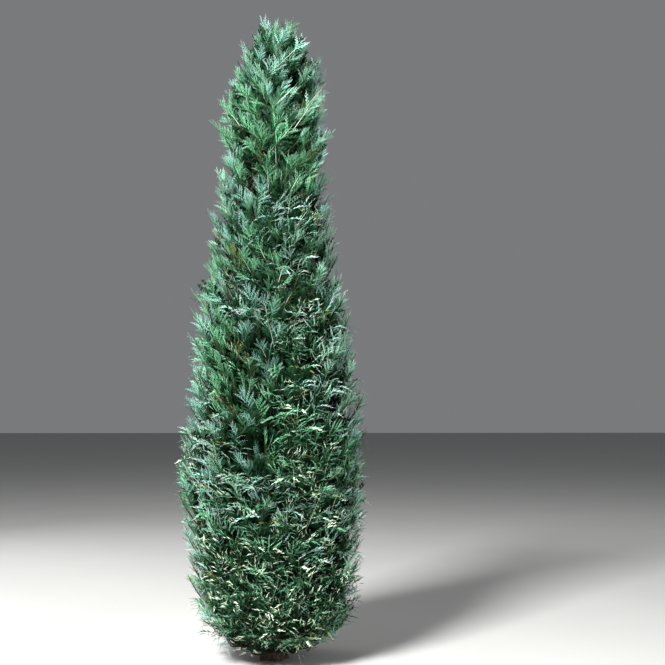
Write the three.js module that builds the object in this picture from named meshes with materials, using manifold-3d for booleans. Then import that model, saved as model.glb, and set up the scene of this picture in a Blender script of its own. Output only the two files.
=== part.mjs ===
// A columnar false cypress, rooted in the ground: one trunk that runs up to the leader, steep boughs,
// and flame-shaped masses of flat, upright sprays that close round it from the ground to the tip.
// Millimetres, +Z up. The origin is the middle of the flat cut under the trunk, at ground level, and -Y is
// the side that is looked at.
import * as THREE from "three";
import { mergeVertices } from "three/addons/utils/BufferGeometryUtils.js";
import Module from "manifold-3d";

// Crown: its outline is a quarter ellipse up to the belly, a long draw-in to the shoulder, and a blunt top
const TREE_HEIGHT = 4430;
const SKIRT_HEIGHT = 45;
const SKIRT_RADIUS = 330;
const BELLY_HEIGHT = 1250;
const BELLY_RADIUS = 655;
const SHOULDER_HEIGHT = 3550;
const SHOULDER_RADIUS = 390;

// Trunk
const TRUNK_RADIUS = 62;
const TRUNK_TIP_RADIUS = 8;
const TRUNK_TOP = 3800;
const TRUNK_TAPER = 0.9;
const TRUNK_SWEEP_SIDE = 26;
const TRUNK_SWEEP_FRONT = -16;
const FLARE_GROWTH = 34;
const FLARE_HEIGHT = 170;
const FLARE_RIBS = 5;
const FLARE_RIB_SHARE = 0.3;
const TRUNK_SIDES = 15;
const TRUNK_STEPS = 14;
const TRUNK_STEP_GROWTH = 1.7; // rings lie closer together in the flare

// Boughs
const BOUGH_ROOT_RADIUS = 15;
const BOUGH_TIP_RADIUS = 7.5;
const BOUGH_STEEPNESS = 1.35; // rise for each millimetre outwards
const BOUGH_BEND_OUT = 0.58; // place of the bend, as shares of the way out and of the rise
const BOUGH_BEND_UP = 0.36;
const LOWEST_BOUGH = 105;
const BOUGH_SIDES = 5;
const BOUGH_STEPS = 3;

// Masses of foliage, in tiers that are each turned half a mass from the one below
const TIERS = 6;
const FIRST_TIER_HEIGHT = 400;
const TIER_RISE = 632;
const BROAD_TIER_RADIUS = 470; // a tier this wide has more masses
const BROAD_TIER_MASSES = 5;
const SLIM_TIER_MASSES = 4;
const FIRST_AZIMUTH = -74; // degrees, where -90 faces the front
const AZIMUTH_STAGGER = 7;
const HEIGHT_STAGGER = 75;
const REACH_STAGGER = 0.035;
const MASS_CENTRE_SHARE = 0.6; // how far out its centre and its stem's root lie, of the crown's radius
const MASS_STEM_SHARE = 0.4;
const STEM_DROP = 300; // from a mass's centre down to the root of its stem
const STEM_BEND = 180;
const STEM_TOP_SHARE = 0.55;
const STEM_SIDES = 4;
const STEM_STEPS = 2;
const TOP_MASS_HEIGHT = 4060;
const LOBE_SWELL = 0.04;
const LOBE_DEPTH = 0.11;
const SPACE_FLATTENING = 0.55; // heights count this much towards the nearest centre, so spaces are tall

// Cores, as shares of the room that the mass has in each direction
const CORE_TIP_SHARE = 0.96;
const CORE_TUFT_SHARE = 0.92;
const CORE_HOLLOW_SHARE = 0.76;
const CORE_TUFT_LIFT = 60;
const CORE_SIDES = 10; // an even number, so that tufts and hollows alternate all the way round
const CORE_RINGS = 8;

// Twigs and sprays of one mass
const TWIGS = 4;
const TOP_TWIGS = 5;
const TWIG_ROOT_RADIUS = 7;
const TWIG_TIP_RADIUS = 4;
const TWIG_DROP = 70; // a twig leaves the stem this far below the spray at its end
const TWIG_SIDES = 3;
const SPREAD_STEPS = [0.7549, 0.5698]; // steps that spread any number of places evenly over a square
const AIM_WIDTH = 0.85; // how far twigs aim to the sides, as a share of the mass, and up and down
const AIM_RISE = 440;
const SPRAY_LENGTH = 400;
const SPRAY_WIDTH = 215;
const SPRAY_THICKNESS = 11;
const SHORTEST_SPRAY = 130;
const SPRAY_SINK_SHARE = 0.3; // the twig runs this far into the spray at its end
const SPRAY_ROOM_SHARE = 0.85;
const TIP_SHARE = 0.99; // how much of the room the furthest tips take
const SIDE_SPRAY_SHARE = 0.85;
const SIDE_SPRAY_ANGLE = 34;
const SIDE_SPRAY_PLACES = { 1: 0.74, [-1]: 0.5 };
const UPWARD_PULL = 1.9;
const SPRAY_TURN = 75;
const SPRAY_TRIES = 7;
const SPRAY_SHRINK = 0.08;

// Clearances
const SEAM = 0.3; // between a mass's stem and its bough's tip
const LIMB_CLEARANCE = 0.35; // a limb is grown by this to cut what must stay clear of it
const SPACE_MARGIN = 3; // each mass stays this far inside its own space

const UP = new THREE.Vector3(0, 0, 1);
const RADIANS = Math.PI / 180;

const wasm = await Module();
wasm.setup();

// A repeatable number from 0 to 1 for each whole number
function scatter(seed) {
  const wave = Math.sin(seed * 12.9898) * 43758.5453;
  return wave - Math.floor(wave);
}

// The same, from -1 to 1
function sway(seed) {
  return 2 * scatter(seed) - 1;
}

// Solids and geometries

function solidOf(geometry) {
  const bare = geometry.clone();
  bare.deleteAttribute("normal");
  bare.deleteAttribute("uv");
  const merged = mergeVertices(bare, 1e-3);
  return new wasm.Manifold(
    new wasm.Mesh({
      numProp: 3,
      vertProperties: merged.getAttribute("position").array,
      triVerts: new Uint32Array(merged.index.array),
    }),
  );
}

function geometryOf(solid) {
  const mesh = solid.getMesh();
  return new THREE.BufferGeometry()
    .setAttribute("position", new THREE.BufferAttribute(mesh.vertProperties, 3))
    .setIndex(new THREE.BufferAttribute(mesh.triVerts, 1));
}

// The largest body of a solid, without its scraps and sealed hollows
function mainBody(solid) {
  const bodies = solid.decompose();
  return bodies.reduce((most, body) => (body.volume() > most.volume() ? body : most));
}

// A round limb along a curve: a cylinder whose rings are moved onto the curve
function limb(curve, radiusAt, sides, steps) {
  const geometry = new THREE.CylinderGeometry(1, 1, 1, sides, steps);
  const frames = curve.computeFrenetFrames(steps, false);
  const rings = geometry.getAttribute("position");
  const point = new THREE.Vector3();
  for (let i = 0; i < rings.count; i++) {
    const along = rings.getY(i) + 0.5;
    const step = Math.round(along * steps);
    point
      .copy(curve.getPointAt(along))
      .addScaledVector(frames.normals[step], rings.getX(i) * radiusAt(along))
      .addScaledVector(frames.binormals[step], -rings.getZ(i) * radiusAt(along));
    rings.setXYZ(i, point.x, point.y, point.z);
  }
  return geometry;
}

// Crown outline

function crownRadius(height) {
  if (height < BELLY_HEIGHT) {
    const down = (BELLY_HEIGHT - height) / (BELLY_HEIGHT - SKIRT_HEIGHT);
    return down > 1
      ? 0
      : SKIRT_RADIUS + (BELLY_RADIUS - SKIRT_RADIUS) * Math.sqrt(1 - down * down);
  }
  if (height < SHOULDER_HEIGHT) {
    const up = (height - BELLY_HEIGHT) / (SHOULDER_HEIGHT - BELLY_HEIGHT);
    const ease = (1 + Math.cos(Math.PI * up)) / 2;
    return SHOULDER_RADIUS + (BELLY_RADIUS - SHOULDER_RADIUS) * ease;
  }
  const up = (height - SHOULDER_HEIGHT) / (TREE_HEIGHT - SHOULDER_HEIGHT);
  return up > 1 ? 0 : SHOULDER_RADIUS * Math.sqrt(1 - up * up);
}

// Trunk

function trunkCentre(height) {
  const up = height / TRUNK_TOP;
  return new THREE.Vector3(
    TRUNK_SWEEP_SIDE * Math.sin(Math.PI * up) * up,
    TRUNK_SWEEP_FRONT * Math.sin(2 * Math.PI * up) * up,
    height,
  );
}

function trunkRadius(height) {
  const up = height / TRUNK_TOP;
  return TRUNK_TIP_RADIUS + (TRUNK_RADIUS - TRUNK_TIP_RADIUS) * (1 - up) ** TRUNK_TAPER;
}

// The flare stands out in ribs, one for each main root
function flareRadius(height, azimuth) {
  const fade = (1 - Math.min(height / FLARE_HEIGHT, 1)) ** 2;
  const rib = 1 + FLARE_RIB_SHARE * Math.cos(FLARE_RIBS * azimuth);
  return FLARE_GROWTH * fade * rib;
}

function trunkGeometry(growth) {
  const geometry = new THREE.CylinderGeometry(1, 1, 1, TRUNK_SIDES, TRUNK_STEPS);
  geometry.rotateX(Math.PI / 2);
  const rings = geometry.getAttribute("position");
  const top = TRUNK_TOP + growth;
  for (let i = 0; i < rings.count; i++) {
    const along = rings.getZ(i) + 0.5;
    const height = top * along ** TRUNK_STEP_GROWTH;
    const azimuth = Math.atan2(rings.getY(i), rings.getX(i));
    const onAxis = Math.hypot(rings.getX(i), rings.getY(i)) < 0.5;
    const radius = onAxis
      ? 0
      : trunkRadius(Math.min(height, TRUNK_TOP)) + flareRadius(height, azimuth) + growth;
    const centre = trunkCentre(Math.min(height, TRUNK_TOP));
    rings.setXYZ(
      i,
      centre.x + radius * Math.cos(azimuth),
      centre.y + radius * Math.sin(azimuth),
      height,
    );
  }
  return geometry;
}

// Places of the masses

function massAt(name, azimuth, height, halfSector, seed) {
  const outward = new THREE.Vector3(Math.cos(azimuth), Math.sin(azimuth), 0);
  const reach = 1 + REACH_STAGGER * sway(seed + 0.3);
  const centre = outward
    .clone()
    .multiplyScalar(crownRadius(height) * MASS_CENTRE_SHARE)
    .setZ(height);
  const stemHeight = height - STEM_DROP;
  const stem = outward
    .clone()
    .multiplyScalar(crownRadius(Math.max(stemHeight, SKIRT_HEIGHT * 2)) * MASS_STEM_SHARE)
    .setZ(stemHeight);
  return { name, azimuth, halfSector, outward, reach, centre, stem, seed };
}

function layOutMasses() {
  const masses = [];
  for (let tier = 0; tier < TIERS; tier++) {
    const tierHeight = FIRST_TIER_HEIGHT + tier * TIER_RISE;
    const broad = crownRadius(tierHeight) > BROAD_TIER_RADIUS;
    const count = broad ? BROAD_TIER_MASSES : SLIM_TIER_MASSES;
    for (let place = 0; place < count; place++) {
      const seed = 10 * (tier + 1) + place;
      const turned = FIRST_AZIMUTH + (360 / count) * (place + tier / 2);
      const azimuth = (turned + AZIMUTH_STAGGER * sway(seed)) * RADIANS;
      const lift = tier === 0 ? 0 : HEIGHT_STAGGER * sway(seed + 0.6);
      const name = "foliage_" + (tier + 1) + "_" + (place + 1);
      masses.push(massAt(name, azimuth, tierHeight + lift, Math.PI / count, seed));
    }
  }
  return masses;
}

// The topmost mass stands round the leader, and its stem goes on from the trunk's tip
function topMass() {
  const azimuth = FIRST_AZIMUTH * RADIANS;
  const seed = 10 * (TIERS + 1);
  return {
    ...massAt("foliage_top", azimuth, TOP_MASS_HEIGHT, Math.PI, seed),
    centre: new THREE.Vector3(0, 0, TOP_MASS_HEIGHT),
    stem: trunkCentre(TRUNK_TOP),
    isTop: true,
  };
}

const masses = [...layOutMasses(), topMass()];

// Space of a mass: the part of the crown that is nearer to its centre than to any other's

const FLATTENING = new THREE.Vector3(1, 1, SPACE_FLATTENING ** 2);

function crownLimit(mass, point) {
  const radius = crownRadius(point.z);
  if (mass.isTop) return radius;
  const turned = Math.atan2(point.y, point.x) - mass.azimuth;
  const aside = Math.atan2(Math.sin(turned), Math.cos(turned)) / mass.halfSector;
  const above = (point.z - mass.centre.z) / TIER_RISE;
  const lobe = 1 + LOBE_SWELL - (LOBE_DEPTH * (aside * aside + above * above)) / 2;
  return radius * mass.reach * lobe;
}

function inSpace(mass, point) {
  if (point.z < SKIRT_HEIGHT || point.z > TREE_HEIGHT) return false;
  if (Math.hypot(point.x, point.y) > crownLimit(mass, point)) return false;
  return masses.every((other) => {
    if (other === mass) return true;
    const towards = other.centre.clone().sub(mass.centre);
    const middle = mass.centre.clone().addScaledVector(towards, 0.5);
    const facing = towards.clone().multiply(FLATTENING).normalize();
    return point.clone().sub(middle).dot(facing) < -SPACE_MARGIN;
  });
}

// How far a mass's space goes from a point in a direction
function roomAlong(mass, from, direction) {
  let free = 0;
  let blocked = 2 * BELLY_RADIUS;
  const point = new THREE.Vector3();
  for (let halving = 0; halving < 16; halving++) {
    const middle = (free + blocked) / 2;
    point.copy(from).addScaledVector(direction, middle);
    if (inSpace(mass, point)) free = middle;
    else blocked = middle;
  }
  return free;
}

// Boughs

function boughCurve(mass) {
  const radius = Math.hypot(mass.stem.x, mass.stem.y);
  const foot = Math.max(mass.stem.z - radius * BOUGH_STEEPNESS, LOWEST_BOUGH);
  const root = trunkCentre(foot);
  const bend = root.clone().lerp(mass.stem, BOUGH_BEND_OUT);
  bend.z = root.z + (mass.stem.z - root.z) * BOUGH_BEND_UP;
  return new THREE.QuadraticBezierCurve3(root, bend, mass.stem);
}

function boughRadius(growth) {
  return (along) =>
    BOUGH_ROOT_RADIUS + (BOUGH_TIP_RADIUS - BOUGH_ROOT_RADIUS) * along + growth;
}

function boughSolid(mass, growth) {
  const geometry = limb(boughCurve(mass), boughRadius(growth), BOUGH_SIDES, BOUGH_STEPS);
  return solidOf(geometry);
}

// Sprays: a toothed blade with a ridge down the middle of each side. Each outline runs round from the
// root, as shares of the width and the length.

const END_SPRAY = [
  [0, 0],
  [0.42, 0.44],
  [0.23, 0.52],
  [0.5, 0.78],
  [0.13, 0.78],
  [0, 1],
  [-0.2, 0.72],
  [-0.46, 0.64],
];
const SIDE_SPRAY = [
  [0, 0],
  [0.5, 0.56],
  [0.2, 0.66],
  [0, 1],
  [-0.22, 0.72],
  [-0.48, 0.66],
];
const RIDGE_SHARE = 0.48;

function sprayCorners(outline, spray) {
  const width = (SPRAY_WIDTH * spray.length) / SPRAY_LENGTH;
  return outline.map(([side, along]) =>
    spray.root
      .clone()
      .addScaledVector(spray.across, side * width)
      .addScaledVector(spray.grow, along * spray.length),
  );
}

function spraySolid(outline, spray) {
  const face = new THREE.Vector3().crossVectors(spray.across, spray.grow);
  const middle = spray.root.clone().addScaledVector(spray.grow, RIDGE_SHARE * spray.length);
  const corners = sprayCorners(outline, spray);
  const ridges = [1, -1].map((side) =>
    middle.clone().addScaledVector(face, (side * SPRAY_THICKNESS) / 2),
  );
  const index = [];
  for (let i = 0; i < corners.length; i++) {
    const next = (i + 1) % corners.length;
    index.push(i, next, corners.length, next, i, corners.length + 1);
  }
  const geometry = new THREE.BufferGeometry().setFromPoints([...corners, ...ridges]);
  geometry.setIndex(index);
  return solidOf(geometry);
}

// The first of several tries at a spray that keeps to its mass's space and is clear of the limbs
function fitSpray(mass, outline, tries, limbs) {
  for (const spray of tries) {
    if (spray.length < SHORTEST_SPRAY) return null;
    if (!sprayCorners(outline, spray).every((corner) => inSpace(mass, corner))) continue;
    const solid = spraySolid(outline, spray);
    if (solid.intersect(limbs).isEmpty()) return { ...spray, solid };
  }
  return null;
}

// The width of a spray lies mostly in the upright plane that faces outwards, turned by a given angle
function sprayAcross(mass, grow, turned) {
  const across = mass.outward.clone().addScaledVector(grow, -mass.outward.dot(grow));
  return across.normalize().applyAxisAngle(grow, turned);
}

// A spray with its tip at a given point: each further try is shorter, less steep and turned
function* spraysToTip(mass, tip, ray, wanted, seed) {
  for (let attempt = 0; attempt < SPRAY_TRIES; attempt++) {
    const steep = UPWARD_PULL * (1 - attempt / SPRAY_TRIES);
    const grow = ray.clone().addScaledVector(UP, steep).normalize();
    const length = wanted * (1 - SPRAY_SHRINK * attempt);
    const turned = SPRAY_TURN * RADIANS * sway(seed) + attempt;
    const root = tip.clone().addScaledVector(grow, -length);
    yield { root, grow, across: sprayAcross(mass, grow, turned), length };
  }
}

// A spray that starts at a given point: each further try is shorter and turned
function* spraysFromRoot(mass, root, grow, wanted, seed) {
  for (let attempt = 0; attempt < SPRAY_TRIES; attempt++) {
    const turned = SPRAY_TURN * RADIANS * sway(seed) + attempt;
    const length = wanted * (1 - SPRAY_SHRINK * attempt);
    yield { root, grow, across: sprayAcross(mass, grow, turned), length };
  }
}

// Masses

// The core fills the inside of the mass: its skin rises in upright tufts with hollows between them
function coreSolid(mass) {
  const geometry = new THREE.SphereGeometry(1, CORE_SIDES, CORE_RINGS);
  geometry.rotateX(Math.PI / 2);
  const skin = geometry.getAttribute("position");
  const direction = new THREE.Vector3();
  for (let i = 0; i < skin.count; i++) {
    const ring = Math.floor(i / (CORE_SIDES + 1));
    const side = i % (CORE_SIDES + 1);
    const isEnd = ring === 0 || ring === CORE_RINGS;
    const isTuft = !isEnd && (ring + side) % 2 === 0;
    const share = isEnd ? CORE_TIP_SHARE : isTuft ? CORE_TUFT_SHARE : CORE_HOLLOW_SHARE;
    direction.fromBufferAttribute(skin, i).normalize();
    const room = roomAlong(mass, mass.centre, direction) * share;
    const point = mass.centre.clone().addScaledVector(direction, room);
    if (isTuft) point.z += Math.min(CORE_TUFT_LIFT, roomAlong(mass, point, UP));
    skin.setXYZ(i, point.x, point.y, point.z);
  }
  return solidOf(geometry);
}

// The stem goes on from the bough, or from the trunk's tip, and ends short of the top of the space
function stemCurve(mass) {
  const start = mass.isTop ? UP : boughCurve(mass).getTangentAt(1);
  const root = mass.stem.clone().addScaledVector(start, SEAM);
  const bend = mass.stem.clone().addScaledVector(start, STEM_BEND);
  const rise = roomAlong(mass, mass.centre, UP) * STEM_TOP_SHARE;
  const top = mass.centre.clone().addScaledVector(UP, rise);
  return new THREE.QuadraticBezierCurve3(root, bend, top);
}

function stemRadius(mass) {
  const root = mass.isTop ? TRUNK_TIP_RADIUS : BOUGH_TIP_RADIUS;
  return (along) => root + (TWIG_TIP_RADIUS - root) * along;
}

// Twigs aim at places that are spread evenly over the outside of the mass
function twigAim(mass, stem, twig) {
  const [across, upward] = SPREAD_STEPS.map(
    (step, axis) => 2 * ((twig * step + scatter(mass.seed + axis / 2)) % 1) - 1,
  );
  const from = stem.getPointAt(0.5 + 0.3 * upward);
  const azimuth = mass.azimuth + across * AIM_WIDTH * mass.halfSector;
  const target = new THREE.Vector3(Math.cos(azimuth), Math.sin(azimuth), 0)
    .multiplyScalar(crownRadius(mass.centre.z))
    .setZ(mass.centre.z + upward * AIM_RISE);
  const ray = target.sub(from).normalize();
  return { from, ray, room: roomAlong(mass, from, ray) };
}

// A twig leaves the stem a little below the spray that it carries
function twigRoot(stem, sprayRoot) {
  const low = stem.getPointAt(0).z;
  const high = stem.getPointAt(1).z;
  const along = (sprayRoot.z - TWIG_DROP - low) / (high - low);
  return stem.getPointAt(THREE.MathUtils.clamp(along, 0.08, 0.92));
}

function twigRadius(along) {
  return TWIG_ROOT_RADIUS + (TWIG_TIP_RADIUS - TWIG_ROOT_RADIUS) * along;
}

// A twig, the spray on its end and the two on its sides
function twigWithSprays(mass, stem, twig, limbs) {
  const seed = mass.seed * 7 + twig * 1.37;
  const { from, ray, room } = twigAim(mass, stem, twig);
  const tip = from.clone().addScaledVector(ray, room * TIP_SHARE);
  const wanted = Math.min(SPRAY_LENGTH, room * SPRAY_ROOM_SHARE);
  const end = fitSpray(mass, END_SPRAY, spraysToTip(mass, tip, ray, wanted, seed), limbs);
  if (!end) return [];
  const inSpray = end.root.clone().addScaledVector(end.grow, end.length * SPRAY_SINK_SHARE);
  const line = new THREE.LineCurve3(twigRoot(stem, end.root), inSpray);
  const twigSolid = solidOf(limb(line, twigRadius, TWIG_SIDES, 1));
  if (!twigSolid.intersect(limbs).isEmpty()) return [];
  const solids = [twigSolid, end.solid];
  const face = new THREE.Vector3().crossVectors(end.across, end.grow);
  for (const side of [1, -1]) {
    const fork = line.getPointAt(SIDE_SPRAY_PLACES[side]);
    const grow = end.grow.clone().applyAxisAngle(face, side * SIDE_SPRAY_ANGLE * RADIANS);
    const length = end.length * SIDE_SPRAY_SHARE;
    const tries = spraysFromRoot(mass, fork, grow, length, seed + side);
    const spray = fitSpray(mass, SIDE_SPRAY, tries, limbs);
    if (spray) solids.push(spray.solid);
  }
  return solids;
}

// The spray on the stem's end reaches the top of the mass
function leaderSpray(mass, stem, limbs) {
  const end = stem.getPointAt(1);
  const room = roomAlong(mass, end, UP) * TIP_SHARE;
  const length = Math.min(SPRAY_LENGTH, room + SPRAY_LENGTH * SPRAY_SINK_SHARE);
  const tip = end.clone().addScaledVector(UP, room);
  const spray = fitSpray(mass, END_SPRAY, spraysToTip(mass, tip, UP, length, mass.seed), limbs);
  return spray ? [spray.solid] : [];
}

function massSolid(mass, limbs) {
  const stem = stemCurve(mass);
  const pieces = [
    solidOf(limb(stem, stemRadius(mass), STEM_SIDES, STEM_STEPS)),
    ...leaderSpray(mass, stem, limbs),
  ];
  const count = mass.isTop ? TOP_TWIGS : TWIGS;
  for (let twig = 0; twig < count; twig++) {
    pieces.push(...twigWithSprays(mass, stem, twig, limbs));
  }
  const core = coreSolid(mass).subtract(limbs);
  return mainBody(pieces.reduce((whole, piece) => whole.add(piece), core));
}

// Materials

const bark = new THREE.MeshStandardMaterial({ color: 0x5d4a3a, roughness: 0.9, metalness: 0 });
const foliageShades = { glaucous: 0x70967c, green: 0x4e7056, deep: 0x304a36 };

function foliageMaterial(index) {
  const shades = Object.values(foliageShades);
  const color = shades[index % shades.length];
  return new THREE.MeshStandardMaterial({ color, roughness: 0.75, metalness: 0 });
}

// Assembly

const tree = new THREE.Group();

function addPart(name, solid, material) {
  const mesh = new THREE.Mesh(geometryOf(solid), material);
  mesh.name = name;
  tree.add(mesh);
}

const trunk = solidOf(trunkGeometry(0));
const trunkSpace = solidOf(trunkGeometry(LIMB_CLEARANCE));
addPart("trunk", trunk, bark);

let limbSpace = trunkSpace;
for (const mass of masses) {
  if (mass.isTop) continue;
  const bough = mainBody(boughSolid(mass, 0).subtract(trunkSpace));
  addPart(mass.name.replace("foliage", "bough"), bough, bark);
  limbSpace = limbSpace.add(boughSolid(mass, LIMB_CLEARANCE));
}

masses.forEach((mass, index) => {
  addPart(mass.name, massSolid(mass, limbSpace), foliageMaterial(index));
});

export default tree;
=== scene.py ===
import math
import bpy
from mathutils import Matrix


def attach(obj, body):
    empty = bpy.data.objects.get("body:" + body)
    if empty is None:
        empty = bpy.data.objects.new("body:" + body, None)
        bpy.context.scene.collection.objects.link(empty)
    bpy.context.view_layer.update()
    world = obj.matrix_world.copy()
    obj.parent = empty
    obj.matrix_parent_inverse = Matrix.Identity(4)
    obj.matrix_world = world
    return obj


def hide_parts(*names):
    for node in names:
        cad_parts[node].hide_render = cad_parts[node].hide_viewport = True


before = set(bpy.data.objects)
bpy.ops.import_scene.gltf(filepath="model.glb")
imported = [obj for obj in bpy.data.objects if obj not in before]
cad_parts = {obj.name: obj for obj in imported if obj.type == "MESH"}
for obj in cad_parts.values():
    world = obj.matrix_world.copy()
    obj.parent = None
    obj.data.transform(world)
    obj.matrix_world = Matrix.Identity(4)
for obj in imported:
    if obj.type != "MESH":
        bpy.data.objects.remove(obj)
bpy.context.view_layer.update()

from types import SimpleNamespace

import bpy
import numpy as np
from mathutils import Matrix, Vector

# Trunk
# One stem of living wood from the flat cut at the ground to the leader, with a little sweep and five
# ribs in its flare. Its thin red-brown bark is fibrous and splits lengthwise into narrow strips.

TRUNK_RADIUS = 0.062
TRUNK_TIP_RADIUS = 0.008
TRUNK_TOP = 3.8
TRUNK_TAPER = 0.9
TRUNK_SWEEP_SIDE = 0.026
TRUNK_SWEEP_FRONT = -0.016
FLARE_GROWTH = 0.034
FLARE_HEIGHT = 0.17
FLARE_RIBS = 5
FLARE_RIB_SHARE = 0.3
TRUNK_SIDES = 88
TRUNK_RINGS = 420
TRUNK_RING_GROWTH = 1.25  # rings lie closer together in the flare
BARK_STRIPS = 85  # strips of bark to a metre across them
BARK_STRETCH = 9  # a strip is this many times as long as wide
BARK_CREASE = 9  # how sharply its strips part
BARK_LEVEL = 0.6  # its height, from 0 to 1, that a limb's radius is measured to
FIBRES = (900, 900, 60)  # to a metre, across and along the bark
FIBRE_DEPTH = 0.0015
FLAT_CUT = 0.001  # the relief starts this high, so that the cut stays flat
TRUNK_RELIEF = 0.0055


def trunk_centre(height):
    up = height / TRUNK_TOP
    side = TRUNK_SWEEP_SIDE * np.sin(np.pi * up) * up
    front = TRUNK_SWEEP_FRONT * np.sin(2 * np.pi * up) * up
    return np.stack([side, front, height], axis=-1)


def trunk_radius(height, azimuth):
    up = height / TRUNK_TOP
    wood = TRUNK_TIP_RADIUS + (TRUNK_RADIUS - TRUNK_TIP_RADIUS) * (1 - up) ** TRUNK_TAPER
    fade = (1 - np.minimum(height / FLARE_HEIGHT, 1)) ** 2
    return wood + FLARE_GROWTH * fade * (1 + FLARE_RIB_SHARE * np.cos(FLARE_RIBS * azimuth))


def keep(mesh, name, kind, values):
    """Keeps a value, or a vector, at each point of a mesh as an attribute."""
    field = "vector" if kind == "FLOAT_VECTOR" else "value"
    mesh.attributes.new(name, kind, "POINT").data.foreach_set(field, values)


def limb_mesh(name, rings, grain):
    """A closed round limb through rings of points, an array of (rings, sides, 3). The grain is kept as
    an attribute: the same points on a limb that is straight and upright."""
    count, sides = rings.shape[:2]
    last = (count - 1) * sides
    faces = []
    for side in range(sides):
        after = (side + 1) % sides
        for low in range(0, last, sides):
            faces.append((low + side, low + after, low + sides + after, low + sides + side))
        faces.append((after, side, count * sides))
        faces.append((last + side, last + after, count * sides + 1))
    mesh = bpy.data.meshes.new(name)
    ends = np.stack([rings[0].mean(0), rings[-1].mean(0)])
    mesh.from_pydata(np.concatenate([rings.reshape(-1, 3), ends]).tolist(), [], faces)
    grain_ends = np.stack([grain[0].mean(0), grain[-1].mean(0)])
    grain = np.concatenate([grain.reshape(-1, 3), grain_ends])
    keep(mesh, "grain", "FLOAT_VECTOR", grain.ravel())
    mesh.shade_smooth()
    return mesh


class Wire:
    """A socket of a node tree. Python's operators on wires and numbers add Math nodes to the tree."""

    def __init__(self, tree, socket=None):
        self.tree = tree
        self.socket = socket

    def node(self, kind, settings=None, sockets=None, output=0):
        """Adds a node: its settings are set first, then each of its sockets gets a value or a wire."""
        made = self.tree.nodes.new(kind)
        for name, value in (settings or {}).items():
            setattr(made, name, value)
        for name, value in (sockets or {}).items():
            for part in value if isinstance(value, list) else [value]:
                if isinstance(part, Wire):
                    self.tree.links.new(part.socket, made.inputs[name])
                else:
                    made.inputs[name].default_value = part
        return Wire(self.tree, made.outputs[output] if made.outputs else None)

    def maths(self, operation, *terms):
        return self.node("ShaderNodeMath", {"operation": operation}, dict(enumerate(terms)))

    def __add__(self, term):
        return self.maths("ADD", self, term)

    def __radd__(self, term):
        return self.maths("ADD", term, self)

    def __sub__(self, term):
        return self.maths("SUBTRACT", self, term)

    def __rsub__(self, term):
        return self.maths("SUBTRACT", term, self)

    def __mul__(self, term):
        return self.maths("MULTIPLY", self, term)

    def __rmul__(self, term):
        return self.maths("MULTIPLY", term, self)

    def __truediv__(self, term):
        return self.maths("DIVIDE", self, term)

    def __mod__(self, term):
        return self.maths("FLOORED_MODULO", self, term)

    def __gt__(self, term):
        return self.maths("GREATER_THAN", self, term)

    def __lt__(self, term):
        return self.maths("LESS_THAN", self, term)

    def __abs__(self):
        return self.maths("ABSOLUTE", self)

    def arctangent(self):
        return self.maths("ARCTANGENT", self)


def growth_rule(name, inputs):
    """A new Geometry Nodes tree with named inputs, each of a socket type. Gives its wires by name."""
    tree = bpy.data.node_groups.new(name, "GeometryNodeTree")
    for label, kind in {"Geometry": "Geometry", **inputs}.items():
        tree.interface.new_socket(label, in_out="INPUT", socket_type="NodeSocket" + kind)
    tree.interface.new_socket("Geometry", in_out="OUTPUT", socket_type="NodeSocketGeometry")
    start = tree.nodes.new("NodeGroupInput")
    return {socket.name: Wire(tree, socket) for socket in start.outputs if socket.name}


def kept(start, name, kind):
    """What the points of a mesh keep under a name."""
    return start.node("GeometryNodeInputNamedAttribute", {"data_type": kind}, {"Name": name})


def end_rule(geometry):
    end = geometry.tree.nodes.new("NodeGroupOutput")
    geometry.tree.links.new(geometry.socket, end.inputs["Geometry"])
    return geometry.tree


def end_rule_in(skin, geometry):
    """Ends a rule with its geometry made plain and given one material."""
    whole = geometry.node("GeometryNodeRealizeInstances", {}, {"Geometry": geometry})
    sockets = {"Geometry": whole, "Material": skin}
    return end_rule(geometry.node("GeometryNodeSetMaterial", {}, sockets))


def in_the_scene(name, contents):
    piece = bpy.data.objects.new(name, contents)
    bpy.context.scene.collection.objects.link(piece)
    return piece


def grow(name, rule, sizes, mesh=None):
    """Runs a rule on a mesh, with its inputs set, and leaves its result as a plain mesh."""
    piece = in_the_scene(name, mesh or bpy.data.meshes.new(name))
    modifier = piece.modifiers.new("growth", "NODES")
    modifier.node_group = rule
    for item in rule.interface.items_tree:
        if item.in_out == "INPUT" and item.name in sizes:
            modifier[item.identifier] = sizes[item.name]
    seen = piece.evaluated_get(bpy.context.evaluated_depsgraph_get())
    grown = bpy.data.meshes.new_from_object(seen)
    piece.modifiers.remove(modifier)
    piece.data = grown
    grown.name = name
    return piece


def bark_height(grain):
    """How far the bark stands up: 0 in the splits between its strips and 1 on their backs."""
    stretch = (BARK_STRIPS, BARK_STRIPS, BARK_STRIPS / BARK_STRETCH)
    drawn = grain.node("ShaderNodeVectorMath", {"operation": "MULTIPLY"}, {0: grain, 1: stretch})
    waves = grain.node(
        "ShaderNodeTexNoise", {}, {"Vector": drawn, "Scale": 1.0, "Detail": 3.0, "Distortion": 0.4}
    )
    return grain.maths("MINIMUM", abs(waves - 0.5) * BARK_CREASE, 1.0)


def relief_rule():
    wires = growth_rule("bark relief", {"Relief": "Float", "Bark": "Material"})
    start = wires["Geometry"]
    grain = kept(start, "grain", "FLOAT_VECTOR")
    height = start.node("ShaderNodeSeparateXYZ", {}, {"Vector": grain}, "Z")
    out = start.node("GeometryNodeInputNormal")
    raised = (bark_height(grain) - BARK_LEVEL) * wires["Relief"]
    push = start.node("ShaderNodeVectorMath", {"operation": "SCALE"}, {0: out, "Scale": raised})
    sockets = {"Geometry": start, "Selection": height > FLAT_CUT, "Offset": push}
    return end_rule_in(wires["Bark"], start.node("GeometryNodeSetPosition", {}, sockets))


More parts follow.
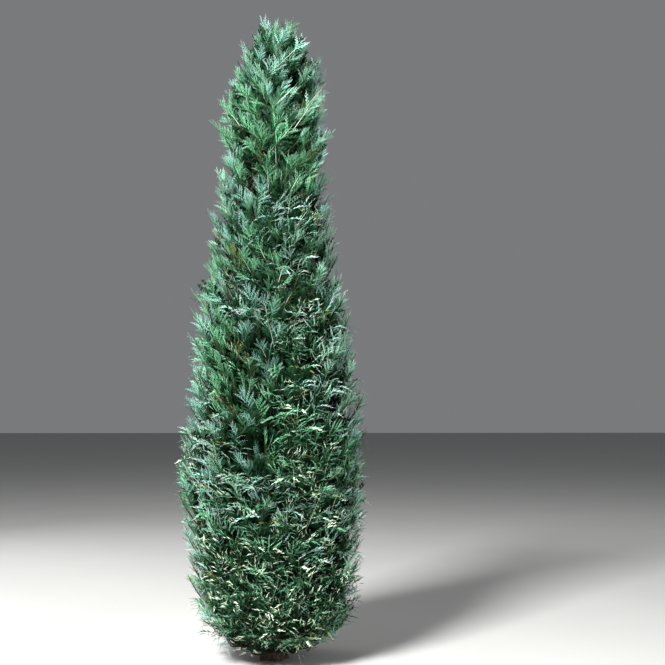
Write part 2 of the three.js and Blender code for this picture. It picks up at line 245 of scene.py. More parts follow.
BARK_SPLIT = (0.02, 0.011, 0.008, 1)
BARK_RED = (0.115, 0.062, 0.038, 1)
BARK_GREY = (0.19, 0.145, 0.108, 1)


def new_material(name):
    """An empty material, and the wire that its nodes start from."""
    material = bpy.data.materials.new(name)
    material.use_nodes = True
    material.node_tree.nodes.clear()
    return material, Wire(material.node_tree)


def end_material(start, sockets):
    surface = start.node("ShaderNodeBsdfPrincipled", {}, sockets)
    start.node("ShaderNodeOutputMaterial", {}, {"Surface": surface})


def blended(share, below, above):
    """A colour between two, by a share from 0 to 1."""
    sockets = {0: share, 6: below, 7: above}
    return share.node("ShaderNodeMix", {"data_type": "RGBA"}, sockets, 2)


def bark_material():
    material, start = new_material("bark")
    grain = start.node("ShaderNodeAttribute", {"attribute_name": "grain"}, {}, "Vector")
    raised = bark_height(grain)
    place = start.node("ShaderNodeTexCoord", {}, {}, "Object")
    patches = start.node("ShaderNodeTexNoise", {}, {"Vector": place, "Scale": 7.0, "Detail": 5.0})
    fine = start.node("ShaderNodeVectorMath", {"operation": "MULTIPLY"}, {0: grain, 1: FIBRES})
    fibres = start.node("ShaderNodeTexNoise", {}, {"Vector": fine, "Scale": 1.0, "Detail": 2.0})
    backs = blended((patches + fibres - 0.55) * 0.9, BARK_RED, BARK_GREY)
    uneven = raised * 0.5 + fibres * 0.5
    bumps = start.node("ShaderNodeBump", {}, {"Height": uneven, "Distance": FIBRE_DEPTH})
    colour = blended(raised, BARK_SPLIT, backs)
    roughness = 0.95 - raised * 0.12
    end_material(start, {"Base Color": colour, "Roughness": roughness, "Normal": bumps})
    return material


def stand_for(piece, nodes):
    """The finished piece moves with the tree and stands for CAD nodes, which it hides."""
    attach(piece, "root")
    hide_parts(*nodes)


def trunk_mesh():
    along = np.linspace(0, 1, TRUNK_RINGS)[:, None] ** TRUNK_RING_GROWTH
    height = TRUNK_TOP * np.repeat(along, TRUNK_SIDES, axis=1)
    azimuth = np.linspace(0, 2 * np.pi, TRUNK_SIDES, endpoint=False)[None] + 0 * height
    radius = trunk_radius(height, azimuth)
    round_it = np.stack([radius * np.cos(azimuth), radius * np.sin(azimuth), 0 * height], axis=-1)
    grain = round_it + height[..., None] * (0, 0, 1)
    return limb_mesh("trunk_bark", round_it + trunk_centre(height), grain)


bark = bark_material()
bark_relief = relief_rule()
trunk = grow("trunk_bark", bark_relief, {"Relief": TRUNK_RELIEF, "Bark": bark}, trunk_mesh())
stand_for(trunk, ["trunk"])

# Boughs
# Twenty-eight limbs that leave the trunk low and steeply, and bend up to where each enters its mass of
# foliage. Each is a tapering branch in the trunk's bark, thickened where it grows out of the trunk.

TREE_HEIGHT = 4.43
SKIRT_HEIGHT = 0.045
SKIRT_RADIUS = 0.33
BELLY_HEIGHT = 1.25
BELLY_RADIUS = 0.655
SHOULDER_HEIGHT = 3.55
SHOULDER_RADIUS = 0.39
TIERS = 6
FIRST_TIER_HEIGHT = 0.4
TIER_RISE = 0.632
BROAD_TIER_RADIUS = 0.47  # a tier this wide has more masses
BROAD_TIER_MASSES = 5
SLIM_TIER_MASSES = 4
FIRST_AZIMUTH = math.radians(-74)
AZIMUTH_STAGGER = math.radians(7)
HEIGHT_STAGGER = 0.075
REACH_STAGGER = 0.035
MASS_CENTRE_SHARE = 0.6  # how far out its centre and its stem's root lie, of the crown's radius
MASS_STEM_SHARE = 0.4
STEM_DROP = 0.3
TOP_MASS_HEIGHT = 4.06
BOUGH_ROOT_RADIUS = 0.015
BOUGH_TIP_RADIUS = 0.0075
BOUGH_COLLAR = 0.009
COLLAR_FADE = 9  # the collar falls to a third in a ninth of the bough's length
BOUGH_STEEPNESS = 1.35
BOUGH_BEND_OUT = 0.58
BOUGH_BEND_UP = 0.36
LOWEST_BOUGH = 0.105
BOUGH_SIDES = 20
BOUGH_RINGS = 40
BOUGH_RELIEF = 0.0022
BOUGH_GRAIN_START = 0.01  # above the flat cut, so that the relief covers all of a bough


def scatter(seed):
    """A repeatable number from 0 to 1 for each seed."""
    wave = math.sin(seed * 12.9898) * 43758.5453
    return wave - math.floor(wave)


def sway(seed):
    return 2 * scatter(seed) - 1


def crown_radius(height):
    """The crown's outline: a quarter ellipse to the belly, a long draw-in, and a blunt rounded top."""
    height = np.asarray(height, float)
    down = np.clip((BELLY_HEIGHT - height) / (BELLY_HEIGHT - SKIRT_HEIGHT), 0, 1)
    skirt = SKIRT_RADIUS + (BELLY_RADIUS - SKIRT_RADIUS) * np.sqrt(1 - down**2)
    up = np.clip((height - BELLY_HEIGHT) / (SHOULDER_HEIGHT - BELLY_HEIGHT), 0, 1)
    ease = (1 + np.cos(np.pi * up)) / 2
    side = SHOULDER_RADIUS + (BELLY_RADIUS - SHOULDER_RADIUS) * ease
    over = np.clip((height - SHOULDER_HEIGHT) / (TREE_HEIGHT - SHOULDER_HEIGHT), 0, 1)
    top = SHOULDER_RADIUS * np.sqrt(1 - over**2)
    radius = np.where(height < BELLY_HEIGHT, skirt, np.where(height < SHOULDER_HEIGHT, side, top))
    return np.where((height < SKIRT_HEIGHT) | (height > TREE_HEIGHT), 0, radius)


def outward_at(azimuth):
    return np.array([math.cos(azimuth), math.sin(azimuth), 0])


def mass_at(name, azimuth, height, half_sector, seed):
    outward = outward_at(azimuth)
    stem_height = height - STEM_DROP
    stem_radius = crown_radius(max(stem_height, SKIRT_HEIGHT * 2)) * MASS_STEM_SHARE
    return SimpleNamespace(
        name=name,
        azimuth=azimuth,
        half_sector=half_sector,
        outward=outward,
        reach=1 + REACH_STAGGER * sway(seed + 0.3),
        centre=outward * crown_radius(height) * MASS_CENTRE_SHARE + (0, 0, height),
        stem=outward * stem_radius + (0, 0, stem_height),
        seed=seed,
        is_top=False,
    )


def lay_out_masses():
    """Tiers of masses, each tier turned half a mass from the one below, and one round the leader."""
    masses = []
    for tier in range(TIERS):
        tier_height = FIRST_TIER_HEIGHT + tier * TIER_RISE
        broad = crown_radius(tier_height) > BROAD_TIER_RADIUS
        count = BROAD_TIER_MASSES if broad else SLIM_TIER_MASSES
        for place in range(count):
            seed = 10 * (tier + 1) + place
            turned = FIRST_AZIMUTH + 2 * math.pi / count * (place + tier / 2)
            azimuth = turned + AZIMUTH_STAGGER * sway(seed)
            lift = HEIGHT_STAGGER * sway(seed + 0.6) if tier else 0
            name = f"foliage_{tier + 1}_{place + 1}"
            masses.append(mass_at(name, azimuth, tier_height + lift, math.pi / count, seed))
    top_seed = 10 * (TIERS + 1)
    top = mass_at("foliage_top", FIRST_AZIMUTH, TOP_MASS_HEIGHT, math.pi, top_seed)
    top.centre = np.array([0, 0, TOP_MASS_HEIGHT])
    top.stem = trunk_centre(np.array(TRUNK_TOP))
    top.is_top = True
    return [*masses, top]


def bezier(along, *points):
    """Places along a Bezier curve of three or four points."""
    along = np.asarray(along, float)[..., None]
    while len(points) > 1:
        points = [a * (1 - along) + b * along for a, b in zip(points, points[1:])]
    return points[0]


def bough_points(mass):
    radius = math.hypot(mass.stem[0], mass.stem[1])
    foot = max(mass.stem[2] - radius * BOUGH_STEEPNESS, LOWEST_BOUGH)
    root = trunk_centre(np.array(foot))
    bend = root + (mass.stem - root) * BOUGH_BEND_OUT
    bend[2] = root[2] + (mass.stem[2] - root[2]) * BOUGH_BEND_UP
    return root, bend, mass.stem


def unit(vector):
    return vector / np.linalg.norm(vector, axis=-1, keepdims=True)


def bough_mesh(name, points):
    along = np.linspace(0, 1, BOUGH_RINGS)
    places = bezier(along, *points)
    forward = unit(np.gradient(places, axis=0))
    side = unit(np.cross(points[1] - points[0], points[2] - points[0]))[None]
    face = np.cross(forward, side)
    turn = np.linspace(0, 2 * np.pi, BOUGH_SIDES, endpoint=False)
    radius = BOUGH_ROOT_RADIUS + (BOUGH_TIP_RADIUS - BOUGH_ROOT_RADIUS) * along
    radius = (radius + BOUGH_COLLAR * np.exp(-along * COLLAR_FADE))[:, None]
    x = (radius * np.cos(turn))[..., None]
    y = (radius * np.sin(turn))[..., None]
    length = np.cumsum(np.linalg.norm(np.diff(places, axis=0, prepend=places[:1]), axis=1))
    rise = np.repeat(length[:, None], BOUGH_SIDES, axis=1) + BOUGH_GRAIN_START
    grain = np.stack([x[..., 0], y[..., 0], rise], axis=-1)
    rings = places[:, None] + x * side[:, None] + y * face[:, None]
    return limb_mesh(name, rings, grain)


masses = lay_out_masses()
for mass in masses[:-1]:
    name = mass.name.replace("foliage", "bough")
    sizes = {"Relief": BOUGH_RELIEF, "Bark": bark}
    bough = grow(name + "_bark", bark_relief, sizes, bough_mesh(name, bough_points(mass)))
    stand_for(bough, [name])

# Stems and twigs
# In each mass a wooden stem goes on from the bough, or from the trunk's tip. Thin twigs leave it for
# places spread evenly over the outside of the crown, and each bends up into the axis of a plume.

LOBE_SWELL = 0.04
LOBE_DEPTH = 0.11
SPACE_FLATTENING = 0.55  # heights count this much towards the nearest centre, so spaces are tall
STEM_BEND = 0.18
STEM_TOP_SHARE = 0.55
STEM_SIDES = 8
STEM_POINTS = 16
TWIG_TIP_RADIUS = 0.004
TWIG_ROOT_RADIUS = 0.007
TWIG_SIDES = 4
TWIG_POINTS = 7
TWIG_DROP = 0.07  # a twig leaves the stem this far below the root of its plume
TWIGS_FROM = 0.08  # twigs leave the stem between these shares of its length
TWIGS_TO = 0.92
TWIG_SETS_OFF = 0.4  # how far a twig's curve is drawn at both its ends, and sags, by its reach
TWIG_ARRIVES = 0.35
TWIG_SAG = 0.15
AXIS_TIP_RADIUS = 0.0014
AXIS_NECK = 0.9  # the axis starts a little thinner than its twig ends
AXIS_POINTS = 5
AXIS_WOOD = (0.15, 0.85)  # the shares of the axis that are wood
MATT = 0.04  # waxy bloom and dull bark hardly gleam
CROWN_STEPS = 500
PLUMES = 760
PLUME_SEEDS = 0.37  # from one plume's seed to the next
GOLDEN_ANGLE = math.radians(137.508)
PLUME_LENGTH = 0.3
LENGTH_SWAY = 0.22
HEIGHT_SWAY = 0.05
LOW_FEATHERS = 0.62  # the length of feathers at the ground, as a share of that of the highest
PLUME_INSET = 0.015
PLUME_INSET_SPREAD = 0.05
FURROW_DEPTH = 0.07  # furrows run up the crown where its leaders part
# Features of the crown: each has its height, its azimuth in degrees, its half height, its half width
# in degrees and an amount. A hollow's amount is its depth, and a swell's is how far it stands out.
HOLLOWS = (
    (1.3, -143, 0.55, 6, 0.08),
    (1.6, -42, 0.7, 6, 0.07),
    (2.95, -84, 0.15, 12, 0.09),
    (3.42, -172, 0.06, 24, 0.04),
    (3.72, -8, 0.06, 22, 0.04),
    (4.0, -172, 0.07, 25, 0.035),
)
SWELLS = (
    (3.75, -168, 0.2, 32, 0.06),
    (2.7, -172, 0.65, 38, 0.07),
    (4.03, -12, 0.09, 28, 0.06),
    (1.28, -168, 0.12, 25, 0.042),
    (0.33, -12, 0.14, 28, 0.075),
    (0.66, -10, 0.12, 28, 0.04),
)
# Plumes lean aside here, against the clock seen from above if the amount is above 0
LEANS = (
    (4.2, -50, 0.09, 35, 1.6),
    (3.7, -50, 0.28, 38, 1.3),
    (3.8, -140, 0.25, 30, -0.9),
    (3.2, 40, 0.3, 40, -0.8),
    (3.6, 120, 0.3, 40, 0.9),
)
# The crown has more dark fronds of painted shade and more fans here, or fewer dark fronds, an even blue
# tone and more feathers, by shares
DARK_PLACES = (
    (2.4, -70, 0.6, 19, 0.5),
    (3.15, -92, 0.2, 12, 0.4),
    (2.4, 30, 0.6, 25, 0.4),
    (2.8, 150, 0.6, 20, 0.4),
)
PALE_BANDS = (
    (1.4, -157, 2.2, 23, 0.7),
    (1.4, -20, 2.2, 19, 0.7),
    (1.4, 62, 2.2, 20, 0.7),
    (1.4, 130, 2.2, 20, 0.7),
    (1.65, -103, 0.7, 17, 0.8),
)
PLUME_BULGE = 0.02
HIGHEST_PLUME = 4.405
LOWEST_PLUME = 0.12
LOWEST_FROND = 0.1
LOWEST_TWIG = 0.03
UPWARD_PULL = 1.9
LEAST_PULL = 0.1  # the share of it that the lowest plumes have
FULL_PULL_HEIGHT = 0.6  # from here up plumes grow steeply, and lower ones more and more outwards
PLUME_SWAY = 0.8
LEADERS_WITHIN = 0.3  # and within this radius they turn upright towards the axis
FANS_BELOW = 1.3  # heights between which the plumes change from fans to feathers
FEATHERS_ABOVE = 3.0
FAN_INSET = 0.085  # plumes with fans lie this much deeper
FAN_PULL = 3.2
UP = np.array([0, 0, 1])
FLATTENING = np.array([1, 1, SPACE_FLATTENING**2])


def summed(features, height, azimuth):
    """What features of the crown add up to at a place, each of them fading out all round."""
    total = 0
    for middle, turned, tall, wide, amount in features:
        aside = math.remainder(azimuth - math.radians(turned), 2 * math.pi) / math.radians(wide)
        total += amount * math.exp(-(((height - middle) / tall) ** 2) - aside**2)
    return total


def crown_limit(mass, place):
    """How far from the axis the foliage of a mass may reach at the height and azimuth of a place."""
    radius = float(crown_radius(place[2]))
    azimuth = math.atan2(place[1], place[0])
    radius += summed(SWELLS, place[2], azimuth) if radius else 0
    if mass.is_top:
        return radius
    aside = math.remainder(azimuth - mass.azimuth, 2 * math.pi) / mass.half_sector
    above = (place[2] - mass.centre[2]) / TIER_RISE
    return radius * mass.reach * (1 + LOBE_SWELL - LOBE_DEPTH * (aside**2 + above**2) / 2)


def within_crown(mass, place, inset):
    inside = math.hypot(place[0], place[1]) <= crown_limit(mass, place) - inset
    return inside and place[2] > LOWEST_FROND


def mass_with(place):
    """The mass that a place in the crown belongs to, the one with the nearest centre."""
    return min(masses, key=lambda mass: ((place - mass.centre) ** 2 @ FLATTENING))


def stem_points(mass):
    start = UP if mass.is_top else unit(mass.stem - bough_points(mass)[1])
    rise = (TREE_HEIGHT - mass.centre[2] if mass.is_top else TIER_RISE) * STEM_TOP_SHARE
    return mass.stem, mass.stem + start * STEM_BEND, mass.centre + UP * rise


def crown_spots(count):
    """Heights and azimuths that spread places evenly over the outside of the crown."""
    heights = np.linspace(LOWEST_PLUME, HIGHEST_PLUME, CROWN_STEPS)
    radii = crown_radius(heights)
    area = np.cumsum(radii * np.hypot(np.gradient(radii), np.gradient(heights)))
    found = np.interp((np.arange(count) + 0.5) / count, area / area[-1], heights)
    return zip(found, np.arange(count) * GOLDEN_ANGLE)


def furrow_depth(height, azimuth):
    """How far the crown falls in at a place, in the furrows and hollows."""
    waves = math.sin(5 * azimuth + 1.1 * height + 2) + math.sin(8 * azimuth - 2.3 * height)
    waves += 0.8 * math.sin(3 * azimuth + 6.1 * height)
    furrow = FURROW_DEPTH * min(max((waves - 0.9) / 1.2, 0), 1)
    return furrow + summed(HOLLOWS, height, azimuth)


def plume_to(height, azimuth, seed):
    """A plume whose tip lies just inside the crown's outline."""
    outward = outward_at(azimuth)
    height = min(height + HEIGHT_SWAY * sway(seed), HIGHEST_PLUME)
    place = outward * crown_radius(height) + UP * height
    mass = mass_with(place)
    inset = PLUME_INSET + PLUME_INSET_SPREAD * scatter(seed + 0.5) + furrow_depth(height, azimuth)
    fans = np.clip((FEATHERS_ABOVE - height) / (FEATHERS_ABOVE - FANS_BELOW), 0, 1)
    fans += summed(DARK_PLACES, height, azimuth) - summed(PALE_BANDS, height, azimuth)
    has_fans = scatter(seed + 0.71) < fans
    inset += FAN_INSET if has_fans else 0
    radius = max(crown_limit(mass, place) - inset, 0)
    tip = outward * radius + UP * height
    pull = FAN_PULL if has_fans else UPWARD_PULL
    pull *= np.clip((height - LOWEST_PLUME) / (FULL_PULL_HEIGHT - LOWEST_PLUME), LEAST_PULL, 1)
    lean = PLUME_SWAY * sway(seed + 0.83) + summed(LEANS, height, azimuth)
    aside = np.cross(UP, outward) * lean
    direction = unit(outward * min(radius / LEADERS_WITHIN, 1) + aside + UP * pull)
    length = PLUME_LENGTH * (1 + LENGTH_SWAY * sway(seed + 0.2))
    size = 1 if has_fans else min(LOW_FEATHERS + (1 - LOW_FEATHERS) * height / FEATHERS_ABOVE, 1)
    root = tip - direction * length * size
    root[2] = max(root[2], LOWEST_FROND)
    return SimpleNamespace(
        mass=mass,
        root=root,
        grow=direction,
        length=length * size,
        size=size,
        outward=outward,
        has_fans=has_fans,
        tone=scatter(seed + 0.13),
    )


def twig_path(plume):
    """From the stem out to the plume's root, and on up its axis, with the radius at each place."""
    stem = stem_points(plume.mass)
    share = (plume.root[2] - TWIG_DROP - stem[0][2]) / (stem[2][2] - stem[0][2])
    start = bezier(np.clip(share, TWIGS_FROM, TWIGS_TO), *stem)
    reach = np.linalg.norm(plume.root - start)
    leave = start + (plume.root - start) * TWIG_SETS_OFF - UP * TWIG_SAG * reach
    arrive = plume.root - plume.grow * TWIG_ARRIVES * reach
    twig = bezier(np.linspace(0, 1, TWIG_POINTS), start, leave, arrive, plume.root)
    twig[:, 2] = np.maximum(twig[:, 2], LOWEST_TWIG)
    bulge = plume.root + plume.grow * plume.length / 2 + plume.outward * PLUME_BULGE
    plume.twig = twig
    plume.axis = (plume.root, bulge, plume.root + plume.grow * plume.length)
    axis = bezier(np.linspace(*AXIS_WOOD, AXIS_POINTS), *plume.axis)
    twig_radius = np.linspace(TWIG_ROOT_RADIUS, TWIG_TIP_RADIUS, TWIG_POINTS)
    axis_radius = np.linspace(TWIG_TIP_RADIUS * AXIS_NECK, AXIS_TIP_RADIUS, AXIS_POINTS)
    return np.concatenate([twig, axis]), np.concatenate([twig_radius, axis_radius])


def paths_mesh(name, paths):
    """Lines through the given places, which keep the radius at each of them."""
    mesh = bpy.data.meshes.new(name)
    edges = []
    first = 0
    for places, _ in paths:
        edges += [(first + i, first + i + 1) for i in range(len(places) - 1)]
        first += len(places)
    mesh.from_pydata(np.concatenate([places for places, _ in paths]).tolist(), edges, [])
    keep(mesh, "girth", "FLOAT", np.concatenate([radius for _, radius in paths]))
    return mesh


def round_tube(curve, sides, girth):
    """A tube of some sides round curves, as thick at each of their points as its girth."""
    ring = curve.node("GeometryNodeCurvePrimitiveCircle", {}, {"Resolution": sides, "Radius": 1.0})
    sockets = {"Curve": curve, "Profile Curve": ring, "Scale": girth, "Fill Caps": True}
    return curve.node("GeometryNodeCurveToMesh", {}, sockets)


def twig_rule():
    wires = growth_rule("round twigs", {"Sides": "Int", "Wood": "Material"})
    start = wires["Geometry"]
    curves = start.node("GeometryNodeMeshToCurve", {}, {"Mesh": start})
    girth = kept(start, "girth", "FLOAT")
    return end_rule_in(wires["Wood"], round_tube(curves, wires["Sides"], girth))


def plain_material(name, colour, roughness):
    material, start = new_material(name)
    sockets = {"Base Color": (*colour, 1), "Roughness": roughness, "Specular IOR Level": MATT}
    end_material(start, sockets)
    return material


# the stems and twigs are near-black, darker than the red-brown bark: painted shade inside the crown
stem_wood = plain_material("stem_wood", (0.04, 0.031, 0.021), 0.85)
twig_wood = plain_material("twig_wood", (0.022, 0.021, 0.013), 0.8)
spots = enumerate(crown_spots(PLUMES))
plumes = [plume_to(*spot, PLUME_SEEDS * number) for number, spot in spots]
stem_paths = []
for mass in masses:
    along = np.linspace(0, 1, STEM_POINTS)
    root = TRUNK_TIP_RADIUS if mass.is_top else BOUGH_TIP_RADIUS
    stem_paths.append((bezier(along, *stem_points(mass)), root + (TWIG_TIP_RADIUS - root) * along))
twig_paths = [twig_path(plume) for plume in plumes]
round_twigs = twig_rule()
for name, sides, wood, paths in (
    ("stems", STEM_SIDES, stem_wood, stem_paths),
    ("twigs", TWIG_SIDES, twig_wood, twig_paths),
):
    tubes = grow(name, round_twigs, {"Sides": sides, "Wood": wood}, paths_mesh(name, paths))
    stand_for(tubes, [mass.name for mass in masses])

# Shapes of the fronds
# The smallest shoots are green pinnae closed in scale leaves. They grow in two ranks on a spray, and
# sprays in two ranks on a frond: a long flat feather, or a short fan with its sprays rolled and bent.

PINNA_FOLD = 0.05  # as a share of its length
PINNA_BELLY = 0.42
AXIS_END = 0.85  # where the last leaf stands, as a share of the whole length with it
AXIS_NARROWING = 0.75  # the share of its width that an axis loses by its end
RANK_ROOT = 0.68  # leaves have this size at the root of an axis, then swell and fall towards its tip
RANK_SWELL = 1.6
RANK_FALL = 1.97
LAST_LEAF_GROWTH = 0.5
SPREAD_LOSS = 0.4  # leaves lean in towards the tip by this share
ROLL_RANGE = (0.75, 1.25)  # random shares of the roll and of the lift that a leaf has
LIFT_RANGE = (0.4, 1.6)
BEFORE_ROOT = -1.0
PAST_TIP = 2.0
SHADED_ROOT_SCATTER = 0.5  # how unevenly the darker sprays at a frond's root, which are painted shade, end
STALK_SIDES = 3


def pinna_mesh(width):
    """A narrow blade of length one, folded along its middle."""
    half = width / 2
    low = (PINNA_BELLY, -half, PINNA_FOLD)
    high = (PINNA_BELLY, half, PINNA_FOLD)
    mesh = bpy.data.meshes.new("pinna")
    mesh.from_pydata([(0, 0, 0), low, (1, 0, 0), high], [], [(0, 1, 2), (0, 2, 3)])
    return mesh


def random_number(start, least, most, seed):
    sockets = {2: least, 3: most, 7: start.node("GeometryNodeInputIndex"), 8: seed}
    return start.node("FunctionNodeRandomValue", {"data_type": "FLOAT"}, sockets, 1)


def bent_axis(wires):
    """The axis of a spray or frond: it grows along X and bends down."""
    start = wires["Geometry"]
    reach = wires["Length"] * AXIS_END
    drop = wires["Bend"] * AXIS_END**2 * -1
    middle = start.node("ShaderNodeCombineXYZ", {}, {"X": reach * 0.5})
    end = start.node("ShaderNodeCombineXYZ", {}, {"X": reach, "Z": drop})
    sockets = {"Resolution": wires["Steps"], "Start": (0, 0, 0), "Middle": middle, "End": end}
    return start.node("GeometryNodeCurveQuadraticBezier", {}, sockets)


def narrowing(start):
    """The width of an axis, as a share of what it has at its root."""
    return 1 - start.node("GeometryNodeSplineParameter") * AXIS_NARROWING


def two_ranks_rule():
    """Leaves in two ranks along a bent axis, with one on its end, and a ribbon of stalk between them.
    Leaves between two shares of the axis, more or less, are marked by an attribute."""
    sizes = "Length Size Bare Spread Roll Lift Bend Ribbon Wildness From To Scatter"
    others = {"Leaf": "Object", "Count": "Int", "Steps": "Int", "Seed": "Int", "Green": "Material"}
    inputs = {**dict.fromkeys(sizes.split(), "Float"), **others, "Mark": "String"}
    wires = growth_rule("leaves in two ranks", inputs)
    start = wires["Geometry"]
    seed = wires["Seed"]
    index = start.node("GeometryNodeInputIndex")
    along = index / (wires["Count"] - 1)
    place = wires["Bare"] + (AXIS_END - wires["Bare"]) * along
    dropped = wires["Bend"] * place * place * -1
    middle = start.node("ShaderNodeCombineXYZ", {}, {"X": wires["Length"] * place, "Z": dropped})
    points = start.node("GeometryNodePoints", {}, {"Count": wires["Count"], "Position": middle})
    side = index % 2 * 2 - 1
    is_last = index > wires["Count"] - 1.5
    least = 1 - wires["Wildness"]
    most = 1 + wires["Wildness"]
    spread = wires["Spread"] * (1 - along * SPREAD_LOSS) * random_number(start, least, most, seed)
    slope = (wires["Bend"] * place * 2 / wires["Length"]).arctangent()
    turns = {
        "X": side * wires["Roll"] * random_number(start, *ROLL_RANGE, seed + 1),
        "Y": slope - wires["Lift"] * random_number(start, *LIFT_RANGE, seed + 2),
        "Z": side * spread * (1 - is_last),
    }
    turn = start.node("ShaderNodeCombineXYZ", {}, turns)
    taper = RANK_ROOT + along * RANK_SWELL - along * along * RANK_FALL
    size = wires["Size"] * taper * (1 + is_last * LAST_LEAF_GROWTH)
    size = size * random_number(start, least, most, seed + 3)
    leaf = start.node("GeometryNodeObjectInfo", {}, {"Object": wires["Leaf"]}, "Geometry")
    sockets = {"Points": points, "Instance": leaf, "Rotation": turn, "Scale": size}
    ranks = start.node("GeometryNodeInstanceOnPoints", {}, sockets)
    marked_at = along + wires["Scatter"] * random_number(start, -0.5, 0.5, seed + 4)
    is_marked = (marked_at > wires["From"]) * (marked_at < wires["To"])
    sockets = {"Geometry": ranks, "Name": wires["Mark"], "Value": is_marked}
    settings = {"data_type": "BOOLEAN", "domain": "INSTANCE"}
    marked = start.node("GeometryNodeStoreNamedAttribute", settings, sockets)
    line_ends = {"Start": (-1, 0, 0), "End": (1, 0, 0)}
    edge = start.node("GeometryNodeCurvePrimitiveLine", {}, line_ends)
    width = wires["Ribbon"] * wires["Length"] / 2 * narrowing(start)
    sockets = {"Curve": bent_axis(wires), "Profile Curve": edge, "Scale": width}
    ribbon = start.node("GeometryNodeCurveToMesh", {}, sockets)
    both = start.node("GeometryNodeJoinGeometry", {}, {"Geometry": [marked, ribbon]})
    return end_rule_in(wires["Green"], both)


def stalk_rule():
    """The round stalk of a frond, along the same bent axis."""
    sizes = dict.fromkeys("Length Bend Radius".split(), "Float")
    wires = growth_rule("stalk of a frond", {**sizes, "Steps": "Int", "Wood": "Material"})
    girth = wires["Radius"] * narrowing(wires["Geometry"])
    return end_rule_in(wires["Wood"], round_tube(bent_axis(wires), STALK_SIDES, girth))


two_ranks = two_ranks_rule()
frond_stalk_rule = stalk_rule()
green_stalk = plain_material("green_stalk", (0.12, 0.17, 0.08), 0.7)
pale_stalk = plain_material("pale_stalk", (0.46, 0.52, 0.4), 0.7)
leaf_green = plain_material("leaf_green", (0.1, 0.2, 0.13), 0.6)

# Each kind of frond has its number of shapes, the numbers of its sprays and of their pinnae, their
# sizes, how far they stand off the axis, the roll of a spray about its own axis, how far it lifts out
# of the frond's plane, and bends. Lifts and bends differ from shape to shape by their sways. Then come
# the share of the axis that is bare, the stalk's girth, and how far the darker root sprays reach,
# which are painted shade.
FROND_KINDS = {
    "flat": SimpleNamespace(
        shapes=6, sprays=17, spray_size=0.38, spread=0.74, roll=0.35, lift=0.12, lift_sway=0.12,
        pinnae=12, pinna_size=0.18, pinna_width=0.26, pinna_spread=0.72, young_and_highlit_from=0.58,
        spray_bend=0.1, spray_sway=0.25, bend=0.1, bend_sway=0.2, wildness=0.4,
        bare=0.08, stalk=0.007, shaded_root_up_to=0.45,
    ),
    "leggy": SimpleNamespace(
        shapes=3, sprays=12, spray_size=0.4, spread=0.8, roll=0.3, lift=0.12, lift_sway=0,
        pinnae=11, pinna_size=0.17, pinna_width=0.27, pinna_spread=0.75, young_and_highlit_from=0.58,
        spray_bend=0.1, spray_sway=0.2, bend=0.1, bend_sway=0.15, wildness=0.4,
        bare=0.36, stalk=0.014, shaded_root_up_to=0.45,
    ),
    "fan": SimpleNamespace(
        shapes=8, sprays=6, spray_size=0.6, spread=1.1, roll=0.9, lift=0.1, lift_sway=0.4,
        pinnae=8, pinna_size=0.3, pinna_width=0.28, pinna_spread=0.33, young_and_highlit_from=0.4,
        spray_bend=0.15, spray_sway=0.65, bend=0.2, bend_sway=0.35, wildness=0.45,
        bare=0.12, stalk=0.008, shaded_root_up_to=0,
    ),
    # near-black inner fronds with broad pinnae: painted shade that closes the crown
    "shade": SimpleNamespace(
        shapes=2, sprays=7, spray_size=0.47, spread=0.8, roll=0.5, lift=0.3, lift_sway=0,
        pinnae=6, pinna_size=0.52, pinna_width=0.62, pinna_spread=0.75, young_and_highlit_from=0.58,
        spray_bend=0.1, spray_sway=0, bend=0.1, bend_sway=0.06, wildness=0.2,
        bare=0.08, stalk=0.007, shaded_root_up_to=0.45,
    ),
}


def outside_the_scene(piece):
    bpy.context.scene.collection.objects.unlink(piece)
    return piece


def frond_shapes():
    """Collections of frond shapes and of their stalks, one metre long, with the kinds in turn."""
    fronds = bpy.data.collections.new("frond_shapes")
    stalks = bpy.data.collections.new("stalk_shapes")
    for number, (name, kind) in enumerate(FROND_KINDS.items()):
        pinna = bpy.data.objects.new("pinna_" + name, pinna_mesh(kind.pinna_width))
        for shape in range(kind.shapes):
            seed = 20 * (number + 1) + shape
            common = {"Length": 1.0, "Seed": seed, "Green": leaf_green}
            spray_sizes = {
                **common,
                "Bare": 0.08,
                "Leaf": pinna,
                "Count": kind.pinnae,
                "Steps": 2,
                "Size": kind.pinna_size,
                "Spread": kind.pinna_spread,
                "Roll": 0.3,
                "Lift": 0.2,
                "Bend": kind.spray_bend + kind.spray_sway * sway(seed + 0.7),
                "Ribbon": 0.03,
                "Wildness": 0.18,
                "Mark": "young",
                "From": kind.young_and_highlit_from,
                "To": PAST_TIP,
            }
            spray = outside_the_scene(grow(f"spray_{name}_{shape}", two_ranks, spray_sizes))
            frond_sizes = {
                **common,
                "Bare": kind.bare,
                "Leaf": spray,
                "Count": kind.sprays,
                "Steps": 4,
                "Size": kind.spray_size,
                "Spread": kind.spread,
                "Roll": kind.roll,
                "Lift": kind.lift + kind.lift_sway * sway(seed + 0.5),
                "Bend": kind.bend + kind.bend_sway * sway(seed),
                "Ribbon": 0.007,
                "Wildness": kind.wildness,
                "Mark": "old",
                "From": BEFORE_ROOT,
                "To": kind.shaded_root_up_to,
                "Scatter": SHADED_ROOT_SCATTER,
            }
            label = f"{number}_{name}_{shape}"
            fronds.objects.link(outside_the_scene(grow("frond_" + label, two_ranks, frond_sizes)))
            stalk_sizes = {
                "Length": 1.0,
                "Bend": frond_sizes["Bend"],
                "Radius": kind.stalk,
                "Steps": 3,
                "Wood": green_stalk,
            }
            stalk = outside_the_scene(grow("stalk_" + label, frond_stalk_rule, stalk_sizes))
            stalks.objects.link(stalk)
    return fronds, stalks


frond_collection, stalk_collection = frond_shapes()
